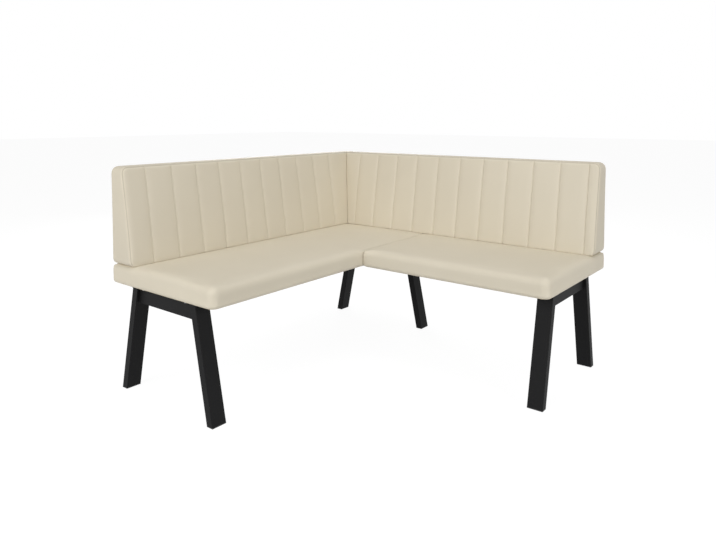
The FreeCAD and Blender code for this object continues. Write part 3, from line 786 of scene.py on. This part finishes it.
# Leg frames
# Square-cornered steel tube, cut and welded: two splayed legs, a crossbar between their tops and
# a flat plate over them, all powder-coated black. Plastic soles plug the open feet.
leg_splay = 0.0865
leg_height = 0.413
leg_lean = leg_splay / leg_height
tube_corner = 0.0018
bead_width = 0.0042
bead_pitch = 0.0028
bead_unevenness = 0.15
bead_unevenness_scale = 40
sole_height = 0.004
sole_rounding = 0.0012
least_alignment = 0.9
powder_coat = grained(
    "black_powder_coat", (0.0083, 0.0083, 0.0087, 1), (0.0120, 0.0120, 0.0125, 1),
    roughness=0.55, grain_scale=1100, mottle_scale=9, depth=0.0002,
)
shader_of(powder_coat).inputs["Specular IOR Level"].default_value = 0.1
black_plastic = grained(
    "black_plastic", (0.010, 0.010, 0.010, 1), (0.016, 0.016, 0.016, 1),
    roughness=0.6, grain_scale=1800, mottle_scale=30, depth=0.0001,
)
finish_nodes("black_powder_coat", powder_coat)
finish_nodes("black_plastic", black_plastic)


def leaning_block(bm, low, high, lean):
    """A block that leans across its depth, with its new edges."""
    place = Matrix.Translation((low + high) / 2) @ Matrix.Diagonal((*(high - low), 1))
    verts = bmesh.ops.create_cube(bm, size=1, matrix=place)["verts"]
    tilt = Matrix.Identity(4)
    tilt[0][2] = lean
    tilt[0][3] = -lean * low.z
    bmesh.ops.transform(bm, matrix=tilt, verts=verts)
    return {edge for vert in verts for edge in vert.link_edges}


def edges_along(edges, axis):
    """The edges that run along one axis, or lean only a little away from it."""
    spans = {edge: edge.verts[1].co - edge.verts[0].co for edge in edges}
    return [edge for edge, span in spans.items() if abs(span[axis]) > least_alignment * span.length]


def bead(bm, start, end):
    """A weld bead of overlapping drops."""
    count = max(2, round((end - start).length / bead_pitch))
    for i in range(count + 1):
        uneven = noise.noise((start + end) * bead_unevenness_scale + Vector((i, 0, 0)))
        size = bead_width * (1 + bead_unevenness * uneven)
        place = start.lerp(end, i / count)
        matrix = Matrix.Translation(place) @ Matrix.Diagonal((size, size, size, 1))
        bmesh.ops.create_icosphere(bm, subdivisions=1, radius=0.5, matrix=matrix)


def weld_leg(bm, leg, bar, foot, width, lean):
    """The beads round three sides of the crossbar's end and round the top of a leg."""
    (low, high), (bar_low, bar_high) = leg, bar
    inward = width if lean > 0 else 0
    under, over = [foot + lean * (height - low.z) + inward for height in (bar_low.z, bar_high.z)]
    for along in (bar_low.y, bar_high.y):
        bead(bm, Vector((under, along, bar_low.z)), Vector((over, along, bar_high.z)))
    bead(bm, Vector((under, bar_low.y, bar_low.z)), Vector((under, bar_high.y, bar_low.z)))
    top = foot + lean * (high.z - low.z)
    corners = [(top, low.y), (top + width, low.y), (top + width, high.y), (top, high.y)]
    corners = [Vector((*corner, high.z)) for corner in corners]
    for start, end in zip(corners, corners[1:] + corners[:1]):
        bead(bm, start, end)


def leg_frame(name, bench):
    """One welded frame with its two soles."""
    bm = bmesh.new()
    soles = bmesh.new()
    beads = bmesh.new()
    bar = bench_box(bench, name + "_frame_crossbar")
    bar_edges = leaning_block(bm, *bar, lean=0)
    rounded(bm, edges_along(bar_edges, 0), tube_corner, segments=3)
    for part, lean in (("rear", leg_lean), ("front", -leg_lean)):
        low, high = bench_box(bench, name + "_frame_" + part + "_leg")
        width = high.x - low.x - leg_lean * (high.z - low.z)
        foot = low.x if lean > 0 else high.x - width
        first = Vector((foot, low.y, low.z))
        last = Vector((foot + width, high.y, high.z))
        leg_edges = leaning_block(bm, first, last, lean)
        rounded(bm, edges_along(leg_edges, 2), tube_corner, segments=3)
        sole_low = Vector((foot - lean * sole_height, low.y, low.z - sole_height))
        sole_high = Vector((foot - lean * sole_height + width, high.y, low.z))
        sole_edges = leaning_block(soles, sole_low, sole_high, lean)
        rounded(soles, sole_edges, sole_rounding, segments=2)
        weld_leg(beads, (low, high), bar, foot, width, lean)
    for face in beads.faces:
        face.smooth = True
    bars = [name + "_frame_" + part for part in ("rear_leg", "front_leg", "crossbar")]
    feet = [name + "_frame_" + part for part in ("rear_foot", "front_foot")]
    tubes = placed(bm, name + "_frame_tubes", powder_coat, bench)
    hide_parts(*bars)
    placed(beads, name + "_frame_welds", powder_coat, bench)
    plugs = placed(soles, name + "_frame_soles", black_plastic, bench)
    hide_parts(*feet)


for name, bench in (("corner", "long"), ("long_end", "long"), ("short_end", "short")):
    leg_frame(name, bench)

# Room
# A plain white floor in a white room, with even light from large soft lamps, so that the colours
# show as they are. The camera sees the room brighter than it lights the benches.
floor_size = 60
floor_glow = 0.94
room_light = 0.2
lamp_target = Vector((0, 0, 0.4))


def seen_directly(tree):
    """One for camera rays and for those that gloss and glass send on, and zero for soft light."""
    path = tree.nodes.new("ShaderNodeLightPath")
    total = path.outputs["Is Camera Ray"]
    for ray in ("Is Glossy Ray", "Is Transmission Ray"):
        either = tree.nodes.new("ShaderNodeMath")
        either.operation = "MAXIMUM"
        tree.links.new(total, either.inputs[0])
        tree.links.new(path.outputs[ray], either.inputs[1])
        total = either.outputs[0]
    return total


def floor_material():
    """White to the eye and in reflections, with a faint shadow, and plain pale paint otherwise."""
    material = bpy.data.materials.new("white_floor")
    material.use_nodes = True
    tree = material.node_tree
    tree.nodes.remove(tree.nodes["Principled BSDF"])
    paint = tree.nodes.new("ShaderNodeBsdfDiffuse")
    paint.inputs["Color"].default_value = (0.68, 0.68, 0.68, 1)
    shade = tree.nodes.new("ShaderNodeBsdfDiffuse")
    shade.inputs["Color"].default_value = (0.14, 0.14, 0.14, 1)
    glow = tree.nodes.new("ShaderNodeEmission")
    glow.inputs["Strength"].default_value = floor_glow
    seen = tree.nodes.new("ShaderNodeAddShader")
    split = tree.nodes.new("ShaderNodeMixShader")
    link = tree.links.new
    link(shade.outputs[0], seen.inputs[0])
    link(glow.outputs[0], seen.inputs[1])
    link(seen_directly(tree), split.inputs["Fac"])
    link(paint.outputs[0], split.inputs[1])
    link(seen.outputs[0], split.inputs[2])
    link(split.outputs[0], tree.nodes["Material Output"].inputs["Surface"])
    return material


bm = bmesh.new()
bmesh.ops.create_grid(bm, x_segments=1, y_segments=1, size=floor_size / 2)
mesh = bpy.data.meshes.new("floor")
bm.to_mesh(mesh)
bm.free()
mesh.materials.append(floor_material())
floor = bpy.data.objects.new("floor", mesh)
bpy.context.scene.collection.objects.link(floor)


def lamp(name, place, size, power):
    """A square soft lamp that points at the middle of the benches."""
    light = bpy.data.lights.new(name, "AREA")
    light.size = size
    light.energy = power
    piece = bpy.data.objects.new(name, light)
    piece.location = place
    piece.rotation_mode = "QUATERNION"
    piece.rotation_quaternion = (lamp_target - place).to_track_quat("-Z", "Y")
    bpy.context.scene.collection.objects.link(piece)


lamp("front_lamp", Vector((-0.3, -4.0, 1.8)), size=2.5, power=91)
lamp("right_lamp", Vector((4.0, -0.6, 1.2)), size=2.0, power=58)
lamp("top_lamp", Vector((0.4, 0.2, 4.0)), size=3.0, power=60)
lamp("rear_lamp", Vector((-3.2, 3.2, 1.2)), size=2.5, power=66)

world = bpy.data.worlds.new("white_room")
bpy.context.scene.world = world
world.use_nodes = True
tree = world.node_tree
dim = tree.nodes["Background"]
dim.inputs["Color"].default_value = (1, 1, 1, 1)
dim.inputs["Strength"].default_value = room_light
seen = tree.nodes.new("ShaderNodeBackground")
seen.inputs["Color"].default_value = (1, 1, 1, 1)
split = tree.nodes.new("ShaderNodeMixShader")
tree.links.new(seen_directly(tree), split.inputs["Fac"])
tree.links.new(dim.outputs[0], split.inputs[1])
tree.links.new(seen.outputs[0], split.inputs[2])
tree.links.new(split.outputs[0], tree.nodes["World Output"].inputs["Surface"])

# Camera
# Stands in front of the open corner, a little higher than the backrests, and looks along the
# diagonal. The frame is shifted down so that the uprights stay nearly upright.
camera_tilt = 0.05514
camera_turn = 0.67076
camera_data = bpy.data.cameras.new("camera")
camera_data.lens = 31.881
camera_data.sensor_width = 36
camera_data.shift_y = -0.165
camera = bpy.data.objects.new("camera", camera_data)
camera.location = (1.5365, -2.0065, 1.0532)
camera.rotation_euler = (math.pi / 2 - camera_tilt, 0, camera_turn)
bpy.context.scene.collection.objects.link(camera)
bpy.context.scene.camera = camera
bpy.context.scene.view_settings.view_transform = "Standard"
